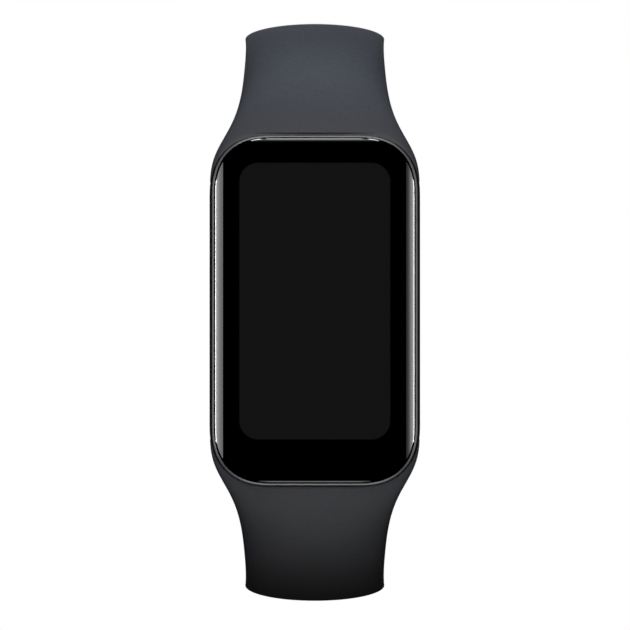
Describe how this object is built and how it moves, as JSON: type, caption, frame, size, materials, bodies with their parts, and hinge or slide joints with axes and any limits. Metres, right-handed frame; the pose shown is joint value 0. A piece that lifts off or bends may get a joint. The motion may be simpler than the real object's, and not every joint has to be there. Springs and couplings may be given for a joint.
{
  "type": "fitness tracker band",
  "caption": "Slim wrist activity tracker: tall rounded glass-fronted case between two moulded rubber band halves, closed by a stud and holes.",
  "frame": {"origin": "middle of the wrist loop, where the wrist passes through", "axes": "+X across the width, along the wrist; +Z towards the 12 o'clock end; the display faces -Y"},
  "size_m": [0.0256, 0.0679, 0.0756],
  "materials": {
    "screen_glass": "polished black-backed glass with a rolled edge",
    "sensor_glass": "polished dark window",
    "case": "smooth black moulded polymer",
    "band": "matte charcoal moulded elastomer",
    "steel": "satin stainless",
    "gold": "gold plated",
    "board": "green solder mask",
    "chip": "moulded black epoxy",
    "foam": "closed-cell foam and gasket rubber",
    "flex": "amber polyimide",
    "battery_foil": "pouch foil",
    "led": "clear green epoxy",
    "dark_plastic": "glass-filled polymer"
  },
  "bodies": {
    "case": {"cover_glass": "screen_glass", "sensor_window": "sensor_glass", "bezel_frame": "case", "rear_cover": "case", "glass_gasket": "foam", "case_seal": "foam", "battery_pad": "foam", "display_panel": "chip", "display_bracket": "steel", "display_flex": "flex", "main_board": "board", "sensor_board": "board", "shield_can": "steel", "processor_chip": "chip", "power_chip": "chip", "motion_sensor": "chip", "photodiode": "chip", "battery": "battery_foil", "antenna": "gold", "vibration_motor": "steel", "green_led_left": "led", "green_led_right": "led", "charge_contact_left": "gold", "charge_contact_right": "gold", "board_screw_left": "steel", "board_screw_right": "steel", "upper_strap_root": "band", "lower_strap_root": "band", "upper_lug_insert": "dark_plastic", "lower_lug_insert": "dark_plastic"},
    "buckle_end": {"upper_strap_end": "band", "clasp_stud": "steel", "stud_washer": "steel"},
    "keeper": {"keeper_loop": "band"},
    "strap_middle": {"lower_strap_middle": "band"},
    "strap_tail": {"lower_strap_tail": "band"},
    "upper_catch": {"upper_release_catch": "steel"},
    "lower_catch": {"lower_release_catch": "steel"}
  },
  "joints": [
    {"name": "clasp_open", "type": "hinge", "parent": "strap_middle", "child": "strap_tail", "pos_m": [0, 0.02296, -0.0172], "axis": [-1, 0, 0], "range_deg": [0, 60], "stiffness_Nm_per_rad": 0.06},
    {"name": "tail_flex", "type": "hinge", "parent": "case", "child": "strap_middle", "pos_m": [0, 0.01085, -0.03336], "axis": [-1, 0, 0], "range_deg": [0, 42], "stiffness_Nm_per_rad": 0.08},
    {"name": "buckle_flex", "type": "hinge", "parent": "case", "child": "buckle_end", "pos_m": [0, 0.02062, 0.02106], "axis": [1, 0, 0], "range_deg": [0, 30], "stiffness_Nm_per_rad": 0.08},
    {"name": "keeper_slide", "type": "slide", "parent": "buckle_end", "child": "keeper", "axis": [0, -0.2264, 0.974], "range_m": [0, 0.0035]},
    {"name": "upper_catch_slide", "type": "slide", "parent": "case", "child": "upper_catch", "axis": [0, 0, 1], "range_m": [0, 0.0008], "stiffness_N_per_m": 200},
    {"name": "lower_catch_slide", "type": "slide", "parent": "case", "child": "lower_catch", "axis": [0, 0, -1], "range_m": [0, 0.0008], "stiffness_N_per_m": 200}
  ],
  "couplings": [
    {"joint": "tail_flex", "follows": "clasp_open", "ratio": 0.7},
    {"joint": "buckle_flex", "follows": "clasp_open", "ratio": 0.5}
  ]
}
